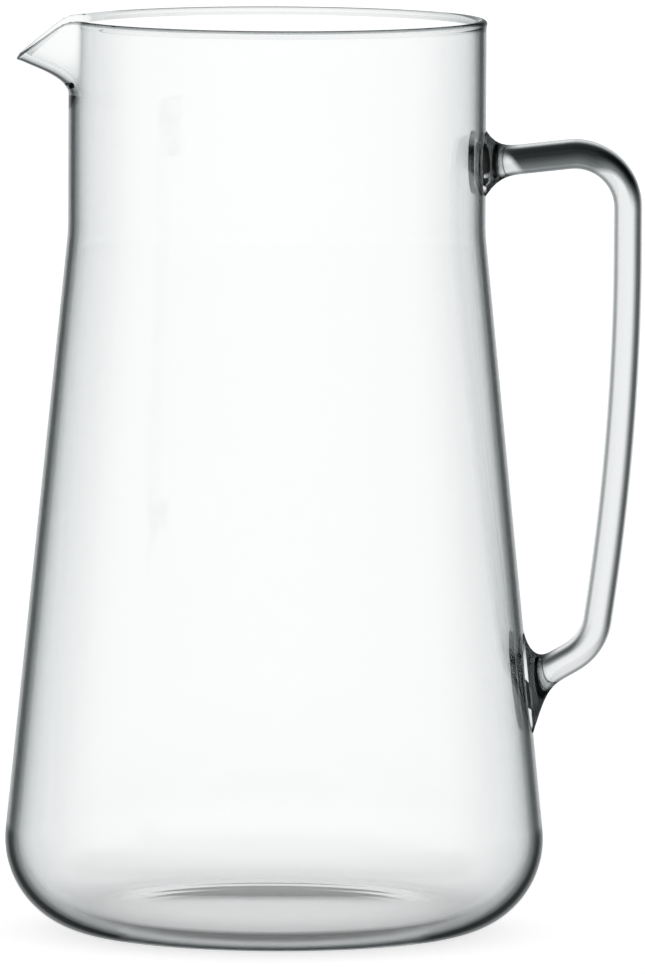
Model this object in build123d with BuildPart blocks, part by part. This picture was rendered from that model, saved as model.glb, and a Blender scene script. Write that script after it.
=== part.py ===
"""Glass pitcher of about 2.5 litres: a blown, tapering jug body with a pouring spout pulled from its rim, and
a solid glass strap handle fused to its side. Millimetres, +Z up, origin on the body's axis in the plane that
the foot stands on. The spout points along -X and the handle along +X."""

import os
from math import atan, atan2, cos, degrees, pi, radians, sin, tan

from build123d import *

# Body, outside
overall_height = 240.0  # foot to rim
neck_radius = 54.7
skirt_radius = 73.3  # where the straight flank would meet the base plane
shoulder_height = 184.0  # where the flank would meet the neck
shoulder_bend = 60.0
heel_bend = 24.4

# Foot
foot_ring_width = 3.2  # the flat ring that the pitcher stands on
push_up = 1.1  # how far the underside is hollowed inside that ring

# Glass thickness
wall = 2.4
base_thickness = 3.8
inner_heel_bend = 22.0
rim_round = 0.5

# Spout, pulled out of the rim
spout_reach = 13.4  # tip beyond the neck
spout_tip_drop = 9.8  # tip below the rim
spout_half_angle = 20.0  # degrees of the rim, each side of the tip
spout_rise = 2.2  # outward run of the underside for each mm of height
spout_root_bend = 3.5  # half the height over which the neck turns into the underside
spout_lift = 1.3  # the inner underside lies this much above the outer one
lip_start = 0.4  # beyond the neck's outside, where the lip leaves the level rim
lip_bend = 6.0
formed_neck_length = 24.0  # length of neck that is formed together with the spout

# Handle
strap_thickness = 7.4
strap_width = 13.5
strap_edge = 3.2  # corner rounding of the strap's section
handle_reach = 92.0  # axis of the body to the strap's centre line
upper_seat_height = 202.4  # the strap's centre line at the neck
upper_arm_slope = 6.4  # degrees above level, away from the body
upper_bend = 14.0
grip_bow = 4.6  # how far the grip's bend stands out from the line between the handle's corners
grip_bend_place = 0.44  # of the way up that line
grip_bend_share = 0.9  # of the room between the handle's other two bends
lower_seat_height = 66.0  # the strap's centre line at the flank
lower_arm_run = 17.1  # seat to corner, outwards
lower_arm_rise = 9.9  # seat to corner, upwards
lower_bend = 14.0

# Welds, where the handle's ends spread out on the wall
weld_length = 9.5
weld_width = 21.0
upper_weld_height = 21.0
lower_weld_height = 26.0
weld_sink = 2.5  # how far an end is formed past the wall's surface before it is trimmed to it
weld_flare = 4.0  # how late an end spreads out: 1 is a plain cone
weld_steps = 5

# Worked out from the sizes above
flank_slope = (skirt_radius - neck_radius) / shoulder_height
flank_lean = degrees(atan(flank_slope))
flank_wall = wall / cos(radians(flank_lean))
neck_bore = neck_radius - wall
formed_neck_start = overall_height - formed_neck_length
spout_turn = overall_height - spout_tip_drop - spout_reach / spout_rise
foot_radius = skirt_radius - heel_bend / tan(radians(90 - flank_lean) / 2)
hollow_radius = foot_radius - foot_ring_width
overshoot = 4.0  # how far a form is carried past the cut that ends it
curve_steps = 6  # across the spout
level_steps = 4  # up the spout


def flank_radius(height):
    """Outside radius of the straight flank at a height."""
    return skirt_radius - height * flank_slope


def spout_bulge(height):
    """How far the spout stands out of the neck at a height, before the lip is cut."""
    above = height - spout_turn
    if above <= -spout_root_bend:
        return 0.0
    if above >= spout_root_bend:
        return spout_rise * above
    return spout_rise * (above + spout_root_bend) ** 2 / (4 * spout_root_bend)


def spout_curve(radius, bulge):
    """Points round the neck from one edge of the spout to the other."""
    points = []
    for step in range(curve_steps + 1):
        share = 2 * step / curve_steps - 1
        angle = pi - share * radians(spout_half_angle)
        reach = radius + bulge * cos(share * pi / 2) ** 2
        points.append((reach * cos(angle), reach * sin(angle)))
    return points


def neck_sections(radius, lift):
    """Level sections of the formed neck with its spout, up to the rim."""
    root = spout_turn - spout_root_bend + lift
    spout_height = overall_height - root
    levels = [formed_neck_start]
    levels += [root + spout_height * step / level_steps for step in range(level_steps + 1)]
    edge = radians(spout_half_angle)
    sections = []
    for level in levels:
        bulge = spout_bulge(level - lift)
        points = spout_curve(radius, bulge)
        with BuildSketch(Plane.XY.offset(level)) as section:
            with BuildLine():
                if level <= root:
                    ThreePointArc(points[0], (-radius, 0), points[-1])
                else:
                    Spline(*points, tangents=[(-sin(edge), cos(edge)), (sin(edge), cos(edge))])
                ThreePointArc(points[-1], (radius, 0), points[0])
            make_face()
        sections.append(section.sketch)
    return sections


def is_rim(face):
    """Whether a face of the body is part of the level rim or of the spout's lip."""
    if face.geom_type not in (GeomType.PLANE, GeomType.CYLINDER):
        return False
    above_spout = face.center().Z > spout_turn
    return above_spout and face.normal_at(face.center()).Z > sin(radians(30))


def outline_edges(faces):
    """The edges that belong to only one of some joined faces."""
    edges = [edge for face in faces for edge in face.edges()]
    return [edge for edge in edges if sum(edge.is_same(other) for other in edges) == 1]


# Body: one wall, turned about its axis up to the neck, with the neck and the spout formed above
with BuildPart() as glass_body:
    with BuildSketch(Plane.XZ):
        with BuildLine():
            hollow_line = TangentArc((0, push_up), (hollow_radius, 0), tangent=(1, 0))
            outer_line = FilletPolyline(
                (hollow_radius, 0),
                (skirt_radius, 0),
                (neck_radius, shoulder_height),
                (neck_radius, formed_neck_start),
                radius=[heel_bend, shoulder_bend],
            )
            inner_line = FilletPolyline(
                (0, base_thickness),
                (flank_radius(base_thickness) - flank_wall, base_thickness),
                (neck_bore, shoulder_height),
                (neck_bore, formed_neck_start),
                radius=[inner_heel_bend, shoulder_bend + wall],
            )
            Line(outer_line @ 1, inner_line @ 1)
            Line(inner_line @ 0, hollow_line @ 0)
        make_face()
    revolve(axis=Axis.Z)
    loft(neck_sections(neck_radius, 0))
    loft(neck_sections(neck_bore, spout_lift), mode=Mode.SUBTRACT)

    # Lip of the spout, sloping down from the level rim to the tip and cut along that line
    lip_corner = (-neck_radius - lip_start, overall_height)
    lip_slope = spout_tip_drop / (spout_reach - lip_start)
    lip_far = spout_bulge(overall_height) + overshoot
    lip_end = (lip_corner[0] - lip_far, overall_height - lip_far * lip_slope)
    far_side = neck_radius + overshoot
    clear_top = overall_height + overshoot
    with BuildSketch(Plane.XZ):
        with BuildLine():
            rim_line = FilletPolyline((far_side, overall_height), lip_corner, lip_end, radius=lip_bend)
            Polyline(rim_line @ 1, (lip_end[0], clear_top), (far_side, clear_top), rim_line @ 0)
        make_face()
    extrude(amount=far_side, both=True, mode=Mode.SUBTRACT)
    fillet(outline_edges(glass_body.faces().filter_by(is_rim)), radius=rim_round)
glass_body.part.label = "glass_body"


def strap_section(plane, thickness, width):
    """Rounded section of the strap on a plane whose X lies across the thickness."""
    edge = strap_edge * min(thickness, width) / strap_thickness
    with BuildSketch(plane) as section:
        RectangleRounded(thickness, width, edge)
    return section.sketch


def weld_sections(seat, arm_tilt, wall_tilt, weld_height):
    """Sections from the strap to its weld. Tilts are degrees that the way towards the wall points down."""
    sections = []
    arm = radians(arm_tilt)
    for step in range(weld_steps + 1):
        share = step / weld_steps
        left = weld_length * (1 - share)
        spread = share**weld_flare
        thickness = strap_thickness + (weld_height - strap_thickness) * spread
        width = strap_width + (weld_width - strap_width) * spread
        tilt = radians(arm_tilt + (wall_tilt - arm_tilt) * share)
        origin = (seat.X + left * cos(arm), 0, seat.Y + left * sin(arm))
        plane = Plane(origin, x_dir=(-sin(tilt), 0, cos(tilt)), z_dir=(-cos(tilt), 0, -sin(tilt)))
        sections.append(strap_section(plane, thickness, width))
    sunk = plane.offset(weld_sink)
    sections.append(strap_section(sunk, thickness, width))
    return sections


def bend_room(before, corner, after, radius):
    """Length of straight line that an arc of some radius takes up on each side of a corner."""
    turn = (corner - before).get_angle(after - corner)
    return radius * tan(radians(turn) / 2)


# Handle: a strap bent from the neck down to the flank, with both ends spread out on the wall
upper_seat = Vector(neck_radius, upper_seat_height)
upper_arm = Vector(1, 0).rotate(Axis.Z, upper_arm_slope)
upper_corner = upper_seat + upper_arm * ((handle_reach - neck_radius) / upper_arm.X)
lower_seat = Vector(flank_radius(lower_seat_height), lower_seat_height)
lower_corner = lower_seat + Vector(lower_arm_run, lower_arm_rise)
lower_arm = (lower_corner - lower_seat).normalized()
lower_arm_slope = degrees(atan2(lower_arm.Y, lower_arm.X))
grip = upper_corner - lower_corner
grip_corner = lower_corner + grip * grip_bend_place + grip.normalized().rotate(Axis.Z, -90) * grip_bow

# The grip's bend is as wide as the straight parts beside it leave room for
upper_room = bend_room(grip_corner, upper_corner, upper_seat, upper_bend)
lower_room = bend_room(grip_corner, lower_corner, lower_seat, lower_bend)
room = min((upper_corner - grip_corner).length - upper_room, (grip_corner - lower_corner).length - lower_room)
grip_bend = grip_bend_share * room / bend_room(upper_corner, grip_corner, lower_corner, 1)
path_corners = [
    upper_seat + upper_arm * weld_length,
    upper_corner,
    grip_corner,
    lower_corner,
    lower_seat + lower_arm * weld_length,
]
with BuildPart() as glass_handle:
    with BuildLine(Plane.XZ) as strap_path:
        FilletPolyline(
            *[(corner.X, corner.Y) for corner in path_corners], radius=[upper_bend, grip_bend, lower_bend]
        )
    upper_sections = weld_sections(upper_seat, upper_arm_slope, 0, upper_weld_height)
    lower_sections = weld_sections(lower_seat, lower_arm_slope, flank_lean, lower_weld_height)
    sweep(upper_sections[0], path=strap_path.line)
    loft(upper_sections)
    loft(lower_sections)
    # Trimmed to the outside of the wall, so that the two meet face to face
    with BuildSketch(Plane.XZ):
        with BuildLine():
            wall_line = Polyline(
                (0, 0), (skirt_radius, 0), (neck_radius, shoulder_height), (neck_radius, overall_height)
            )
            Polyline(wall_line @ 1, (0, overall_height), (0, 0))
        make_face()
    revolve(axis=Axis.Z, mode=Mode.SUBTRACT)
glass_handle.part.label = "glass_handle"

os.makedirs("parts", exist_ok=True)
for piece in (glass_body, glass_handle):
    export_step(piece.part, f"parts/{piece.part.label}.step")
    print(piece.part.label, round(piece.part.volume), "mm3", len(piece.solids()), "solid")
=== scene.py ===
import math
import bpy
import mathutils
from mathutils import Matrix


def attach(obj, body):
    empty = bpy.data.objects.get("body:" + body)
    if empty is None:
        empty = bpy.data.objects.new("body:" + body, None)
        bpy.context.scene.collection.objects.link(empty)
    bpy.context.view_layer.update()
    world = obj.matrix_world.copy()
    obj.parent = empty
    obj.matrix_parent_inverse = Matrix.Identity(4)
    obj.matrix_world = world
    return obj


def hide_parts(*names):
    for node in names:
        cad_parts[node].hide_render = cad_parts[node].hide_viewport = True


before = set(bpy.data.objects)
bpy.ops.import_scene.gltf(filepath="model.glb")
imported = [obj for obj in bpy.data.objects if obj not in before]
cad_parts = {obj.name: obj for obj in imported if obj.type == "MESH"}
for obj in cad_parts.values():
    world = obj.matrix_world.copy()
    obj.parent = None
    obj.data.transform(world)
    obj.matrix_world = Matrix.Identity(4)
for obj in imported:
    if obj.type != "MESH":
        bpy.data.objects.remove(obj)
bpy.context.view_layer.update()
mm = 0.001  # the pitcher's sizes are in millimetres, Blender's are in metres
white = (1, 1, 1, 1)
mergeDistance = 0.00001


def deselectAll():
    if bpy.context.object and bpy.context.object.mode != "OBJECT":
        bpy.ops.object.mode_set(mode="OBJECT")
    bpy.ops.object.select_all(action="DESELECT")


def setNode(node, **sockets):
    for name, value in sockets.items():
        node.inputs[name.replace("_", " ")].default_value = value


# camera at the photograph's angle, far away with a long lens
camera = {
    "lens": 580,
    "sensor": 36,
    "distance": 4.1,
    "height": 0.49,
    "aim": (0.0123, 0, 0.117),  # what the middle of the picture shows
    "roll": 0.27,  # degrees
    "nearest": 0.1,
    "farthest": 60,
}


def addCamera():
    deselectAll()
    height = camera["height"]
    bpy.ops.object.camera_add(location=(camera["aim"][0], -camera["distance"], height))
    seen = bpy.context.object
    seen.name = "camera"
    seen.data.lens = camera["lens"]
    seen.data.sensor_width = camera["sensor"]
    seen.data.clip_start = camera["nearest"]
    seen.data.clip_end = camera["farthest"]
    drop = math.atan2(height - camera["aim"][2], camera["distance"])
    seen.rotation_euler = (math.pi / 2 - drop, 0, 0)
    seen.rotation_euler.rotate_axis("Z", math.radians(camera["roll"]))
    bpy.context.scene.camera = seen
    print("camera")


# white studio: pale floor with a painted glow where it is seen edge-on, bright horizon all round, dark
# ceiling that only the glass shows
studio = {
    "skyBright": 1.0,
    "skyDark": 0.06,
    "darkFrom": 0.42,  # sine of the height above the horizon where the white starts to fade
    "darkTo": 0.62,
    "fill": 0.4,  # what lights the floor
    "floorRadius": 30,
    "floorSides": 96,
    "floorDrop": 0.0001,  # gap under the foot
    "floorColour": (0.9, 0.9, 0.9, 1),
    "floorPaintedGlow": 0.68,
    "paintedGlowStart": 0.28,  # how edge-on the floor is seen where its painted glow starts
    "paintedGlowFull": 0.55,  # and where the painted glow is full
}


def addSky():
    world = bpy.data.worlds.new("studioSky")
    world.use_nodes = True
    bpy.context.scene.world = world
    nodes, links = world.node_tree.nodes, world.node_tree.links
    seen = nodes["Background"]
    setNode(seen, Color=white)
    even = nodes.new("ShaderNodeBackground")
    setNode(even, Color=white, Strength=studio["fill"])
    where = nodes.new("ShaderNodeTexCoord")
    split = nodes.new("ShaderNodeSeparateXYZ")
    fade = nodes.new("ShaderNodeMapRange")
    fade.interpolation_type = "SMOOTHSTEP"
    setNode(fade, From_Min=studio["darkFrom"], From_Max=studio["darkTo"])
    setNode(fade, To_Min=studio["skyBright"], To_Max=studio["skyDark"])
    path = nodes.new("ShaderNodeLightPath")
    mix = nodes.new("ShaderNodeMixShader")
    links.new(where.outputs["Generated"], split.inputs[0])
    links.new(split.outputs["Z"], fade.inputs["Value"])
    links.new(fade.outputs["Result"], seen.inputs["Strength"])
    links.new(path.outputs["Is Diffuse Ray"], mix.inputs["Fac"])
    links.new(seen.outputs[0], mix.inputs[1])
    links.new(even.outputs[0], mix.inputs[2])
    links.new(mix.outputs[0], nodes["World Output"].inputs["Surface"])


def addFloor():
    deselectAll()
    bpy.ops.mesh.primitive_circle_add(
        vertices=studio["floorSides"],
        radius=studio["floorRadius"],
        fill_type="NGON",
        location=(0, 0, -studio["floorDrop"]),
    )
    floor = bpy.context.object
    floor.name = "floor"
    paint = bpy.data.materials.new("paleFloor")
    paint.use_nodes = True
    nodes, links = paint.node_tree.nodes, paint.node_tree.links
    ground = nodes["Principled BSDF"]
    setNode(ground, Base_Color=studio["floorColour"], Roughness=1.0, Specular_IOR_Level=0.0)
    setNode(ground, Emission_Color=white)
    # painted glow: the floor gives off light of its own, full where it is seen edge-on and none seen from
    # above
    grazing = nodes.new("ShaderNodeLayerWeight")
    setNode(grazing, Blend=0.5)
    paintedGlowStrength = nodes.new("ShaderNodeMapRange")
    paintedGlowStrength.interpolation_type = "SMOOTHSTEP"
    setNode(paintedGlowStrength, From_Min=studio["paintedGlowStart"], From_Max=studio["paintedGlowFull"])
    setNode(paintedGlowStrength, To_Min=0, To_Max=studio["floorPaintedGlow"])
    links.new(grazing.outputs["Facing"], paintedGlowStrength.inputs["Value"])
    links.new(paintedGlowStrength.outputs["Result"], ground.inputs["Emission Strength"])
    floor.data.materials.append(paint)
    print("studio")


# body: one wall, turned about the upright axis, in millimetres
body = {
    "height": 240.0,
    "neckRadius": 54.7,
    "skirtRadius": 73.3,  # where the straight flank would meet the table
    "shoulderHeight": 184.0,
    "shoulderBend": 60.0,
    "heelBend": 24.4,
    "innerHeelBend": 22.0,
    "footRing": 3.2,
    "pushUp": 1.1,
    "wall": 2.4,
    "baseThickness": 3.8,
    "rimBulge": 1.1,  # height of the melted rim's round top
    "rimBead": 0.2,  # how far the melted rim stands out of the wall, on both sides
    "beadRun": 1.1,  # height over which the wall swells into it
    "innerFrom": 0.6,  # of the wall's thickness: faces that lie deeper are inside
    "floorSlack": 0.2,
    "outwardSlack": 0.01,
    "turns": 288,
    "hollowSteps": 16,  # points along each stretch of the outline
    "heelSteps": 36,
    "flankSteps": 30,
    "shoulderSteps": 8,
    "neckSteps": 44,
    "beadSteps": 5,
    "rimSteps": 16,
    "baseSteps": 12,
}

# spout: pulled out of the rim towards -X, in millimetres
spout = {
    "reach": 13.4,
    "tipDrop": 9.8,
    "halfAngle": 20.0,  # degrees
    "rise": 2.2,  # outward run of the underside for each millimetre of height
    "rootBend": 3.5,
    "lift": 1.3,  # the inner underside lies this much above the outer one
    "lipStart": 0.4,
    "lipBend": 6.0,
    "neckBelow": 6,  # length of neck under the spout's root that is drawn out with it
    "lipSearch": 2,  # how far under the spout's turn the search for its lip starts
    "searchSteps": 30,
}
flankSlope = (body["skirtRadius"] - body["neckRadius"]) / body["shoulderHeight"]
spoutTurn = body["height"] - spout["tipDrop"] - spout["reach"] / spout["rise"]
lipSlope = spout["tipDrop"] / (spout["reach"] - spout["lipStart"])


def flankRadius(height):
    return body["skirtRadius"] - height * flankSlope


def along(start, end, count):  # even points between two ends, without the ends
    return [
        (start[0] + (end[0] - start[0]) * i / count, start[1] + (end[1] - start[1]) * i / count)
        for i in range(1, count)
    ]


# the directions of the two lines at a corner, and half the angle between them
def cornerArms(before, corner, after):
    arms = []
    for end in (before, after):
        length = math.dist(end, corner)
        arms.append(((end[0] - corner[0]) / length, (end[1] - corner[1]) / length))
    first, second = arms
    return first, second, math.acos(first[0] * second[0] + first[1] * second[1]) / 2


# points of the arc that rounds the corner between two straight lines
def roundCorner(before, corner, after, radius, count):
    first, second, half = cornerArms(before, corner, after)
    inwards = (first[0] + second[0], first[1] + second[1])
    away = radius / math.sin(half) / math.hypot(*inwards)
    centre = (corner[0] + inwards[0] * away, corner[1] + inwards[1] * away)
    reach = radius / math.tan(half)
    angles = []
    for arm in (first, second):
        end = (corner[0] + arm[0] * reach, corner[1] + arm[1] * reach)
        angles.append(math.atan2(end[1] - centre[1], end[0] - centre[0]))
    turn = (angles[1] - angles[0] + math.pi) % (2 * math.pi) - math.pi
    steps = [angles[0] + turn * i / count for i in range(count + 1)]
    return [(centre[0] + radius * math.cos(angle), centre[1] + radius * math.sin(angle)) for angle in steps]


# melted rim: the wall swells into a bead on both sides and closes in a round top
def rimLine(neck, bore):
    bead, bulge, steps = body["rimBead"], body["rimBulge"], body["beadSteps"]
    bulgeStart = body["height"] - bulge
    outside, inside, top = [], [], []
    for i in range(steps):
        swell = bead * (1 - math.cos(math.pi * i / steps)) / 2
        rise = bulgeStart - body["beadRun"] * (1 - i / steps)
        outside.append((neck + swell, rise))
        inside.append((bore - swell, rise))
    for i in range(body["rimSteps"] + 1):
        angle = math.pi * i / body["rimSteps"]
        across = (body["wall"] / 2 + bead) * math.cos(angle)
        top.append(((neck + bore) / 2 + across, bulgeStart + bulge * math.sin(angle)))
    return outside + top + inside[::-1]


# radius and height of the wall's outline, from under the foot, up outside, over the rim and down inside
def wallLine():
    wall, base, shoulder = body["wall"], body["baseThickness"], body["shoulderHeight"]
    neck, bore = body["neckRadius"], body["neckRadius"] - wall
    foot, neckFoot, neckTop = (body["skirtRadius"], 0), (neck, shoulder), (neck, body["height"])
    innerFoot = (flankRadius(base) - wall / math.cos(math.atan(flankSlope)), base)
    boreFoot, boreTop = (bore, shoulder), (bore, body["height"])
    heel = roundCorner((0, 0), foot, neckFoot, body["heelBend"], body["heelSteps"])
    bend = roundCorner(foot, neckFoot, neckTop, body["shoulderBend"], body["shoulderSteps"])
    innerHeel = roundCorner((0, base), innerFoot, boreFoot, body["innerHeelBend"], body["heelSteps"])
    innerBend = roundCorner(innerFoot, boreFoot, boreTop, body["shoulderBend"] + wall, body["shoulderSteps"])
    hollow = heel[0][0] - body["footRing"]
    shares = [i / body["hollowSteps"] for i in range(body["hollowSteps"])]
    line = [(hollow * share, body["pushUp"] * (1 - share**2)) for share in shares]
    line += [(hollow, 0), (hollow + body["footRing"] / 2, 0)] + heel
    line += along(heel[-1], bend[0], body["flankSteps"]) + bend
    rim = rimLine(neck, bore)
    line += along(bend[-1], rim[0], body["neckSteps"]) + rim
    line += along(rim[-1], innerBend[-1], body["neckSteps"]) + innerBend[::-1]
    line += along(innerBend[0], innerHeel[-1], body["flankSteps"]) + innerHeel[::-1]
    line += along(innerHeel[0], (0, base), body["baseSteps"]) + [(0, base)]
    return line


def spoutLean(angle):  # 1 at the tip's direction, 0 at the edge of the spout and beyond
    away = 180 - abs(math.degrees(angle))
    return math.cos(math.pi / 2 * min(away / spout["halfAngle"], 1)) ** 2


def bulgeAt(height, lift):
    above, root = height - lift - spoutTurn, spout["rootBend"]
    if above <= -root:
        return 0
    return spout["rise"] * (above if above >= root else (above + root) ** 2 / (4 * root))


def lipHeight(x):  # height of the rim over a place on the way to the tip
    past = -x - body["neckRadius"] - spout["lipStart"]
    reach = spout["lipBend"] * math.tan(math.atan(lipSlope) / 2)
    if past < -reach:
        return body["height"]
    if past < reach * math.cos(math.atan(lipSlope)):
        return body["height"] - spout["lipBend"] + math.sqrt(spout["lipBend"] ** 2 - (past + reach) ** 2)
    return body["height"] - past * lipSlope


# height at which one face of the wall, pulled out by the spout, meets the lip
def rimAt(radius, angle, lift):
    low, high = spoutTurn - spout["lipSearch"], body["height"]
    for i in range(spout["searchSteps"]):
        middle = (low + high) / 2
        reach = radius + bulgeAt(middle, lift) * spoutLean(angle)
        if middle < lipHeight(reach * math.cos(angle)):
            low = middle
        else:
            high = middle
    return low


# moves the points of the neck out and down, so that the lip runs down to its tip
def pullSpout(piece):
    root = spoutTurn - spout["rootBend"] - spout["neckBelow"]
    neck, bore = body["neckRadius"], body["neckRadius"] - body["wall"]
    rimStart = body["height"] - body["rimBulge"]
    rims = {}
    for point in piece.data.vertices:
        x, y, z = (value / mm for value in point.co)
        radius, angle = math.hypot(x, y), math.atan2(y, x)
        if z < root or abs(math.degrees(angle)) <= 180 - spout["halfAngle"]:
            continue
        key = round(angle, 4)
        if key not in rims:
            rims[key] = rimAt(neck, angle, 0), rimAt(bore, angle, spout["lift"])
        inward = min(max((neck - radius) / body["wall"], 0), 1)  # 0 on the outside, 1 on the inside
        rim = rims[key][0] + (rims[key][1] - rims[key][0]) * inward
        up = min((z - root) / (rimStart - root), 1)
        over = max(z - rimStart, 0)
        height = root + (rim - body["rimBulge"] - root) * up + over
        reach = radius + bulgeAt(root + (rim - root) * up, spout["lift"] * inward) * spoutLean(angle)
        point.co = (reach * math.cos(angle) * mm, reach * math.sin(angle) * mm, height * mm)


# which of the wall's four finishes a face has: outside, inside, and the same two at the rim
def finishOf(face):
    x, y, z = (value / mm for value in face.center)
    radius = math.hypot(x, y)
    if z > body["height"] - body["rimBulge"] - body["beadRun"]:
        return 3 if radius < body["neckRadius"] - body["wall"] / 2 else 2
    bore = flankRadius(min(z, body["shoulderHeight"])) - body["wall"] * body["innerFrom"]
    above = z > body["baseThickness"] - body["floorSlack"]
    return int(above and radius < bore and face.normal.dot((x, y, 0)) <= body["outwardSlack"])


def makeBody():
    line = wallLine()
    deselectAll()
    bpy.ops.mesh.primitive_plane_add(size=mm, location=(0, 0, 0))
    piece = bpy.context.object
    piece.name = "pitcherBody"
    bpy.ops.object.mode_set(mode="EDIT")
    bpy.ops.mesh.select_all(action="SELECT")
    bpy.ops.mesh.merge(type="CENTER")
    bpy.ops.transform.translate(value=(line[0][0] * mm, 0, line[0][1] * mm))
    for here, there in zip(line, line[1:]):
        step = ((there[0] - here[0]) * mm, 0, (there[1] - here[1]) * mm)
        bpy.ops.mesh.extrude_region_move(TRANSFORM_OT_translate={"value": step})
    bpy.ops.mesh.select_all(action="SELECT")
    bpy.ops.mesh.spin(steps=body["turns"], angle=2 * math.pi, center=(0, 0, 0), axis=(0, 0, 1))
    bpy.ops.mesh.select_all(action="SELECT")
    bpy.ops.mesh.remove_doubles(threshold=mergeDistance)
    bpy.ops.mesh.normals_make_consistent(inside=False)
    bpy.ops.object.mode_set(mode="OBJECT")
    bpy.ops.object.shade_smooth()
    piece.data.materials.append(wallGlass("clearGlassOutside", glass["outside"]))
    piece.data.materials.append(wallGlass("clearGlassInside", glass["inside"]))
    piece.data.materials.append(wallGlass("clearGlassRimOutside", glass["outside"], glass["rimTop"]))
    piece.data.materials.append(wallGlass("clearGlassRimInside", glass["rimInside"]))
    for face in piece.data.polygons:
        face.material_index = finishOf(face)
    pullSpout(piece)
    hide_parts("glass_body")
    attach(piece, "root")
    print("body", len(piece.data.vertices))


# handle: a strap bent from the neck down to the flank, its ends spread out on the wall, in millimetres
handle = {
    "thickness": 7.4,
    "width": 13.5,
    "edge": 3.2,
    "reach": 92.0,
    "upperSeat": 202.4,
    "upperSlope": 6.4,  # degrees
    "upperBend": 14.0,
    "gripBow": 4.6,
    "gripBend": 0.44,  # of the way up from the lower corner
    "gripShare": 0.9,  # of the room between the other two bends
    "lowerSeat": 66.0,
    "lowerRun": 17.1,
    "lowerRise": 9.9,
    "lowerBend": 14.0,
    "weldLength": 9.5,
    "weldWidth": 21.0,
    "upperWeld": 16.5,
    "lowerWeld": 26.0,
    "flare": 3.2,  # how late the ends spread out
    "sink": 1.6,  # how far the ends reach into the wall at their middle
    "smoothBelow": 50,  # degrees
    "edgeSteps": 6,
    "armSteps": 16,  # sections along each stretch of the strap
    "upperBendSteps": 16,
    "gripSteps": 3,
    "gripBendSteps": 24,
    "lowerBendSteps": 12,
}


# the strap's middle at its two seats and three corners, from the neck down
def handleCorners():
    upperSeat = (body["neckRadius"], handle["upperSeat"])
    rise = (handle["reach"] - upperSeat[0]) * math.tan(math.radians(handle["upperSlope"]))
    upper = (handle["reach"], upperSeat[1] + rise)
    lowerSeat = (flankRadius(handle["lowerSeat"]), handle["lowerSeat"])
    lower = (lowerSeat[0] + handle["lowerRun"], lowerSeat[1] + handle["lowerRise"])
    across, up = upper[0] - lower[0], upper[1] - lower[1]
    bow, place = handle["gripBow"] / math.hypot(across, up), handle["gripBend"]
    grip = (lower[0] + across * place + up * bow, lower[1] + up * place - across * bow)
    return upperSeat, upper, grip, lower, lowerSeat


# middle of the strap from the neck to the flank
def handleLine():
    upperSeat, upper, grip, lower, lowerSeat = handleCorners()
    upperArc = roundCorner(upperSeat, upper, grip, handle["upperBend"], handle["upperBendSteps"])
    lowerArc = roundCorner(grip, lower, lowerSeat, handle["lowerBend"], handle["lowerBendSteps"])
    room = min(math.dist(grip, upperArc[-1]), math.dist(grip, lowerArc[0]))
    bend = handle["gripShare"] * room * math.tan(cornerArms(upper, grip, lower)[2])
    gripArc = roundCorner(upper, grip, lower, bend, handle["gripBendSteps"])
    line = [upperSeat] + along(upperSeat, upperArc[0], handle["armSteps"]) + upperArc
    line += along(upperArc[-1], gripArc[0], handle["gripSteps"]) + gripArc
    line += along(gripArc[-1], lowerArc[0], handle["gripSteps"]) + lowerArc
    line += along(lowerArc[-1], lowerSeat, handle["armSteps"]) + [lowerSeat]
    return line


# turns the sections near one end towards the wall and spreads them out on it
def spreadEnd(sections, seat, wallHeading, weld):
    for section in sections:
        share = 1 - math.dist(seat, section["place"]) / handle["weldLength"]
        if share <= 0:
            continue
        spread = share ** handle["flare"]
        turn = (wallHeading - section["heading"] + math.pi) % (2 * math.pi) - math.pi
        section["heading"] += turn * share
        section["thickness"] += (weld - handle["thickness"]) * spread
        section["width"] += (handle["weldWidth"] - handle["width"]) * spread


def sunkInWall(section):
    reach, height = section["place"]
    return {**section, "place": (reach - handle["sink"], height)}


def strapSections():
    line = handleLine()
    size = {"thickness": handle["thickness"], "width": handle["width"]}
    sections = []
    for i, place in enumerate(line):
        before, after = line[max(i - 1, 0)], line[min(i + 1, len(line) - 1)]
        heading = math.atan2(after[1] - before[1], after[0] - before[0])
        sections.append({"place": place, "heading": heading, **size})
    spreadEnd(sections, line[0], 0, handle["upperWeld"])
    spreadEnd(sections, line[-1], math.pi + math.atan(flankSlope), handle["lowerWeld"])
    return [sunkInWall(sections[0])] + sections + [sunkInWall(sections[-1])]


def placeOf(section):
    return section["place"][0] * mm, 0, section["place"][1] * mm


# turns the selected section about the level axis through its middle; this operator turns the other way
def turnSection(angle, middle):
    bpy.ops.transform.rotate(value=-angle, orient_axis="Y", center_override=middle)


# widens the selected section across its thickness and its width
def widenSection(thickness, width, heading, middle):
    across = mathutils.Vector((-math.sin(heading), 0, math.cos(heading)))
    level = mathutils.Vector((0, 1, 0))
    directions = mathutils.Matrix((across, level, across.cross(level))).transposed()
    bpy.ops.transform.resize(
        value=(thickness, width, 1),
        orient_type="GLOBAL",
        orient_matrix=directions,
        orient_matrix_type="GLOBAL",
        center_override=middle,
    )


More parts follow.
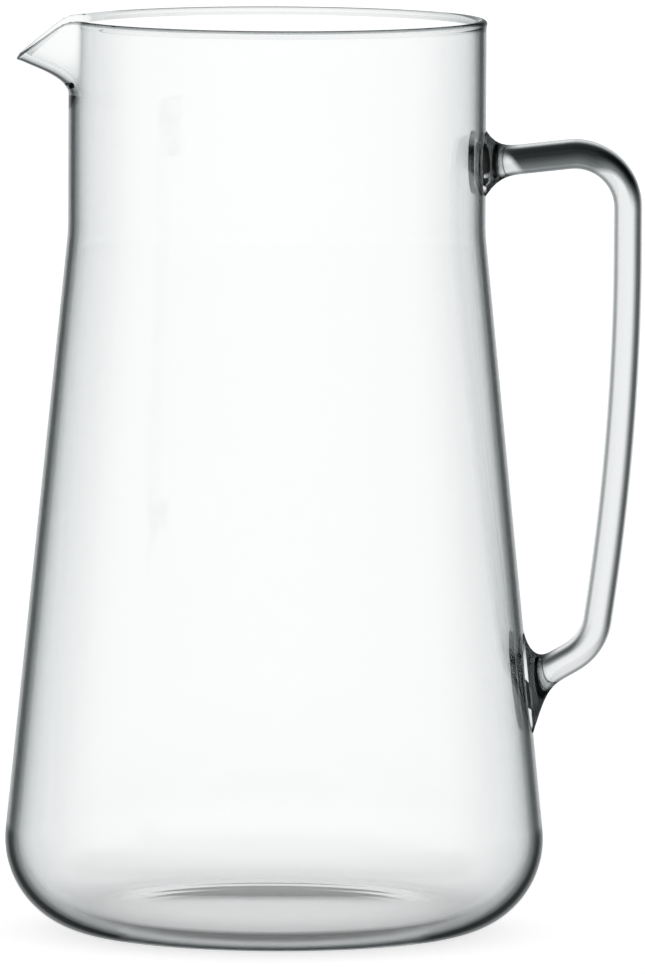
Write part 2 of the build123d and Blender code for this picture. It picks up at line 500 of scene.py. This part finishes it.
def makeHandle():
    sections = strapSections()
    first = {**sections[0], "thickness": handle["thickness"], "width": handle["width"]}
    deselectAll()
    bpy.ops.mesh.primitive_plane_add(size=1, location=(0, 0, 0))
    piece = bpy.context.object
    piece.name = "pitcherHandle"
    bpy.ops.object.mode_set(mode="EDIT")
    bpy.ops.mesh.select_all(action="SELECT")
    bpy.ops.transform.resize(
        value=(first["thickness"] * mm, first["width"] * mm, 1), center_override=(0, 0, 0)
    )
    bpy.ops.mesh.bevel(offset=handle["edge"] * mm, segments=handle["edgeSteps"], affect="VERTICES")
    turnSection(math.pi / 2 - first["heading"], (0, 0, 0))
    bpy.ops.transform.translate(value=placeOf(first))
    for before, section in zip([first] + sections, sections):
        middle = placeOf(section)
        if before is not first:
            step = [there - here for there, here in zip(middle, placeOf(before))]
            bpy.ops.mesh.extrude_region_move(TRANSFORM_OT_translate={"value": step})
            turnSection(before["heading"] - section["heading"], middle)
        growth = section["thickness"] / before["thickness"], section["width"] / before["width"]
        if growth != (1, 1):
            widenSection(*growth, section["heading"], middle)
    bpy.ops.mesh.select_all(action="SELECT")
    bpy.ops.mesh.normals_make_consistent(inside=False)
    bpy.ops.object.mode_set(mode="OBJECT")
    bpy.ops.object.shade_smooth_by_angle(angle=math.radians(handle["smoothBelow"]))
    piece.data.materials.append(handleGlass("clearGlassHandle"))
    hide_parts("glass_handle")
    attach(piece, "root")
    print("handle", len(piece.data.vertices))


# clear glass with painted shade: rows of steps that say how much light its colour lets in, from face on to
# edge on, darkened towards the edges where the glass would show dark surroundings
glass = {
    "index": 1.47,
    "fusedIndex": 1.0001,  # light goes straight on where two pieces of glass are one
    "outside": [
        (0.0, 0.905), (0.244, 0.9), (0.3, 0.88), (0.4, 0.82), (0.475, 0.78), (0.555, 0.72), (0.607, 0.64),
        (0.667, 0.48), (0.693, 0.33), (0.725, 0.22), (0.76, 0.1), (0.8, 0.095), (0.83, 0.15), (0.85, 0.28),
        (0.9, 0.43), (1.0, 0.7),
    ],
    "inside": [(0.0, 0.995), (0.8, 0.93), (1.0, 0.8)],
    # painted shade over the outside's steps, darker by how far the rim faces up
    "rimTop": [(0.0, 1.0), (0.2, 0.95), (0.35, 0.75), (0.5, 0.58), (0.8, 0.45), (1.0, 0.5)],
    "rimInside": [(0.0, 0.9), (0.3, 0.82), (0.6, 0.66), (0.9, 0.62), (1.0, 0.8)],
    # painted shade on the handle, from face on to edge on: on the sides that face up and outwards, and on
    # the others
    "handlePaintedShadeUp": [
        (0.0, 0.79), (0.01, 0.77), (0.03, 0.66), (0.082, 0.337), (0.17, 0.127), (0.3, 0.085), (0.42, 0.14),
        (0.53, 0.42), (0.7, 0.65), (1.0, 0.8),
    ],
    "handlePaintedShadeDown": [
        (0.0, 0.79), (0.1, 0.78), (0.2, 0.71), (0.264, 0.52), (0.348, 0.34), (0.455, 0.32), (0.607, 0.42),
        (1.0, 0.8),
    ],
    # painted dark outlines round the welds, from face on to edge on
    "weldPaintedShade": [(0.0, 1.0), (0.25, 1.0), (0.5, 0.12), (1.0, 0.06)],
    # painted shade on the level arm, from its upper side down to its lower one
    "arm": [
        (0.0, 1.0), (0.05, 0.55), (0.1, 0.36), (0.16, 0.22), (0.23, 0.07), (0.37, 0.03), (0.5, 0.07),
        (0.64, 0.16), (0.78, 0.25), (0.91, 0.66), (1.0, 1.0),
    ],
    "coolness": (0.1, 0.02, 0.0),  # how much red, green and blue the painted dark edges lose
    "paintedShadeWay": (0.5, 0, 0.87),  # the handle's sides with the darker painted shade face this way
    "paintedShadeTurn": (-0.25, 0.3),  # how far a side faces that way where it has the lighter painted shade, and where the darker
    "weldReach": (9.5, 4.0),  # millimetres from the wall over which the painted shade on the welds' edges comes in
    "weldDepth": (40, 80),  # the wall under the welds is this far from the axis
    "armStart": (227.2, 229.8),  # where the weld turns into the arm: reach and this share of the height
    "armLean": 0.82,
    "armEnd": (190, 199),  # height over which the arm's painted shade begins
    "bendCentre": (78.06, 190.94),  # reach and height of the middle of the upper bend
    "bendOutside": 17.75,  # from there to the strap's upper side
    "bandNarrows": (4, 14),  # past the middle of the bend, where the painted dark band shrinks to half
    "spoutReach": (-40, -47),  # the spout's thin glass bends light less from here outwards
    "spoutHeight": (216, 223),
    "spoutShare": 0.92,
}


# tints the painted shade cool: the darker a step, the more red and a little green it loses
def paintedShadeTint(light):
    return [light * (1 - loss * (1 - light)) for loss in glass["coolness"]] + [1]


# sets each socket to its value, or links it where the value is another node's output
def feed(tree, sockets, values):
    for socket, value in zip(sockets, values):
        if isinstance(value, bpy.types.NodeSocket):
            tree.links.new(value, socket)
        else:
            socket.default_value = value


def addMath(tree, operation, *values):
    node = tree.nodes.new("ShaderNodeMath")
    node.operation = operation
    feed(tree, node.inputs, values)
    return node.outputs["Value"]


def addVector(tree, operation, *values):
    node = tree.nodes.new("ShaderNodeVectorMath")
    node.operation = operation
    feed(tree, node.inputs, values)
    return node.outputs["Value" if operation in ("LENGTH", "DOT_PRODUCT") else "Vector"]


def addRange(tree, value, limits):
    node = tree.nodes.new("ShaderNodeMapRange")
    node.interpolation_type = "SMOOTHSTEP"
    setNode(node, From_Min=limits[0], From_Max=limits[1], To_Min=0, To_Max=1)
    tree.links.new(value, node.inputs["Value"])
    return node.outputs["Result"]


def addMix(tree, blend, share, first, second):
    node = tree.nodes.new("ShaderNodeMix")
    node.data_type = "RGBA"
    node.blend_type = blend
    feed(tree, (node.inputs["Factor"], node.inputs[6], node.inputs[7]), (share, first, second))
    return node.outputs[2]


def addRamp(tree, value, steps):
    ramp = tree.nodes.new("ShaderNodeValToRGB")
    while len(ramp.color_ramp.elements) < len(steps):
        ramp.color_ramp.elements.new(0.5)
    for element, (place, light) in zip(ramp.color_ramp.elements, steps):
        element.position = place
        element.color = paintedShadeTint(light)
    tree.links.new(value, ramp.inputs["Fac"])
    return ramp.outputs["Color"]


def facingTone(tree, steps):
    edge = tree.nodes.new("ShaderNodeLayerWeight")
    setNode(edge, Blend=0.5)
    return addRamp(tree, edge.outputs["Facing"], steps)


# 1 where a weld covers the wall, on its outer face and on the inner face behind it
# a weld's outline is the strap's section, widened
def underWelds(tree, place):
    near, far = glass["weldDepth"]
    flat = [handle[side] / 2 - handle["edge"] for side in ("width", "thickness")]
    masks = []
    for end in ("upper", "lower"):
        growth = (1, handle["weldWidth"] / handle["width"], handle[end + "Weld"] / handle["thickness"])
        away = addVector(tree, "SUBTRACT", place, ((near + far) / 2, 0, handle[end + "Seat"]))
        away = addVector(tree, "ABSOLUTE", addVector(tree, "DIVIDE", away, growth))
        away = addVector(tree, "SUBTRACT", away, ((far - near) / 2, *flat))
        away = addVector(tree, "LENGTH", addVector(tree, "MAXIMUM", away, (0, 0, 0)))
        masks.append(addMath(tree, "LESS_THAN", away, handle["edge"]))
    return addMath(tree, "MAXIMUM", *masks)


# how far a place stands out of the wall
def wallDistance(tree, place):
    reach = addVector(tree, "LENGTH", addVector(tree, "MULTIPLY", place, (1, 1, 0)))
    drop = addVector(tree, "DOT_PRODUCT", place, (0, 0, -flankSlope))
    wallAt = addMath(tree, "MAXIMUM", addMath(tree, "ADD", drop, body["skirtRadius"]), body["neckRadius"])
    return addMath(tree, "SUBTRACT", reach, wallAt)


def reachAndHeight(tree, place):
    split = tree.nodes.new("ShaderNodeSeparateXYZ")
    tree.links.new(place, split.inputs[0])
    return split.outputs["X"], split.outputs["Z"]


def aroundSpout(tree, place):
    reach, height = reachAndHeight(tree, place)
    outwards = addRange(tree, reach, glass["spoutReach"])
    upwards = addRange(tree, height, glass["spoutHeight"])
    return addMath(tree, "MULTIPLY", addMath(tree, "MULTIPLY", outwards, upwards), glass["spoutShare"])


# the level arm's painted shade by the depth under its upper side, which follows the bend, and how strongly
# it holds
def paintedArmShade(tree, place):
    reach, height = reachAndHeight(tree, place)
    centre = glass["bendCentre"]
    past = addMath(tree, "SUBTRACT", reach, centre[0])
    before = addMath(tree, "MAXIMUM", addMath(tree, "MULTIPLY", past, -1), 0)
    past = addMath(tree, "MAXIMUM", past, 0)
    rise = addMath(tree, "MULTIPLY_ADD", before, math.tan(math.radians(handle["upperSlope"])), height)
    rise = addMath(tree, "MAXIMUM", addMath(tree, "SUBTRACT", rise, centre[1]), 0)
    away = addMath(tree, "MULTIPLY_ADD", rise, rise, addMath(tree, "MULTIPLY", past, past))
    depth = addMath(tree, "SUBTRACT", glass["bendOutside"], addMath(tree, "SQRT", away))
    narrower = addMath(tree, "ADD", addRange(tree, past, glass["bandNarrows"]), 1)
    depth = addMath(tree, "MULTIPLY", addMath(tree, "DIVIDE", depth, handle["thickness"]), narrower)
    start = addMath(tree, "MULTIPLY_ADD", height, glass["armLean"], reach)
    start, end = addRange(tree, start, glass["armStart"]), addRange(tree, height, glass["armEnd"])
    return addMath(tree, "MULTIPLY", start, end), addRamp(tree, depth, glass["arm"])


# painted shade: darker on the sides that face up and outwards and round the welds, and darkest along the
# level arm
def paintedHandleShade(tree, place, normal, distance):
    sideways = addMath(tree, "ABSOLUTE", addVector(tree, "DOT_PRODUCT", normal, (0, 1, 0)))
    edgeOn = addMath(tree, "SUBTRACT", 1, sideways)
    dark, light = addRamp(tree, edgeOn, glass["handlePaintedShadeUp"]), addRamp(tree, edgeOn, glass["handlePaintedShadeDown"])
    turned = addVector(tree, "DOT_PRODUCT", normal, glass["paintedShadeWay"])
    colour = addMix(tree, "MIX", addRange(tree, turned, glass["paintedShadeTurn"]), light, dark)
    nearWall = addRange(tree, distance, glass["weldReach"])
    colour = addMix(tree, "MULTIPLY", nearWall, colour, facingTone(tree, glass["weldPaintedShade"]))
    share, armShade = paintedArmShade(tree, place)
    return addMix(tree, "MULTIPLY", share, colour, armShade)


def newGlass(name):
    paint = bpy.data.materials.new(name)
    paint.use_nodes = True
    tree = paint.node_tree
    tree.nodes.remove(tree.nodes["Principled BSDF"])
    where = tree.nodes.new("ShaderNodeTexCoord")
    place = addVector(tree, "DIVIDE", where.outputs["Object"], (mm, mm, mm))
    return paint, tree, place, where.outputs["Normal"]


# light takes the colour as it enters the glass and keeps it inside
# fused glass has no colour of its own, and weaker glass bends light less
def addGlass(tree, colour, fused, weaker):
    inside = tree.nodes.new("ShaderNodeNewGeometry")
    kept = addMath(tree, "MAXIMUM", inside.outputs["Backfacing"], fused)
    pane = tree.nodes.new("ShaderNodeBsdfGlass")
    setNode(pane, Roughness=0.0, IOR=glass["index"])
    tree.links.new(addMix(tree, "MIX", kept, colour, white), pane.inputs["Color"])
    bend = addMath(tree, "MULTIPLY_ADD", weaker, glass["fusedIndex"] - glass["index"], glass["index"])
    tree.links.new(bend, pane.inputs["IOR"])
    tree.links.new(pane.outputs["BSDF"], tree.nodes["Material Output"].inputs["Surface"])


def wallGlass(name, steps, topSteps=None):
    paint, tree, place, normal = newGlass(name)
    # painted shade by how edge-on the glass is seen
    colour = facingTone(tree, steps)
    # painted shade on the rim, darker where it faces up
    if topSteps:
        upwards = addVector(tree, "DOT_PRODUCT", normal, (0, 0, 1))
        colour = addMix(tree, "MULTIPLY", 1, colour, addRamp(tree, upwards, topSteps))
    fused = underWelds(tree, place)
    addGlass(tree, colour, fused, addMath(tree, "MAXIMUM", fused, aroundSpout(tree, place)))
    return paint


def handleGlass(name):
    paint, tree, place, normal = newGlass(name)
    distance = wallDistance(tree, place)
    fused = addMath(tree, "LESS_THAN", distance, 0)
    addGlass(tree, paintedHandleShade(tree, place, normal, distance), fused, fused)
    return paint


cycles = bpy.context.scene.cycles
cycles.use_denoising = True
cycles.max_bounces = 24
cycles.transmission_bounces = 24
cycles.glossy_bounces = 12
bpy.context.scene.view_settings.view_transform = "Standard"
addCamera()
addSky()
addFloor()
makeBody()
makeHandle()
